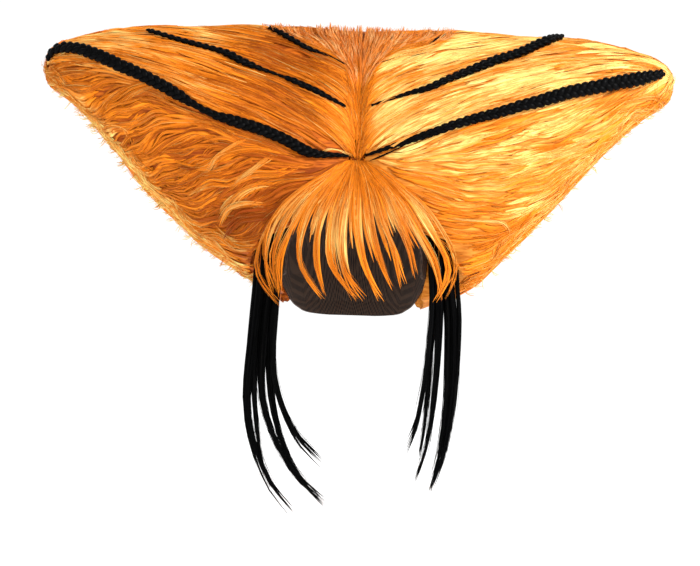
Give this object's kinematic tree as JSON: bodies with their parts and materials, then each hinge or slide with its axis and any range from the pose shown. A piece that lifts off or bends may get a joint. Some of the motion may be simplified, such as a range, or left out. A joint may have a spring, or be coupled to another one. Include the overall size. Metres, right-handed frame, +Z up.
{
  "type": "wig",
  "caption": "Costume wig with two broad upswept orange hair wings, black plaited stripes, a brushed crest, a wispy fringe and long black side locks, on a net cap.",
  "frame": {"origin": "Inside of the cap at the crown, where the wig sits on the top of a head.", "axes": "+X to the viewer's right as seen from in front, +Y to the back of the head, +Z up."},
  "size_m": [0.616, 0.2317, 0.4793],
  "materials": {
    "orange_hair": "satin",
    "ginger_hair": "satin",
    "black_hair": "gloss",
    "cap_net": "matte"
  },
  "bodies": {
    "root": {"cap": "cap_net", "wing_left": "orange_hair", "wing_right": "orange_hair", "back_hair": "orange_hair", "crest": "ginger_hair", "fringe": "orange_hair", "plait_left_low": "black_hair", "plait_left_mid": "black_hair", "plait_left_high": "black_hair", "plait_right_low": "black_hair", "plait_right_mid": "black_hair", "plait_right_high": "black_hair", "side_lock_left": "black_hair", "side_lock_right": "black_hair"}
  },
  "joints": []
}
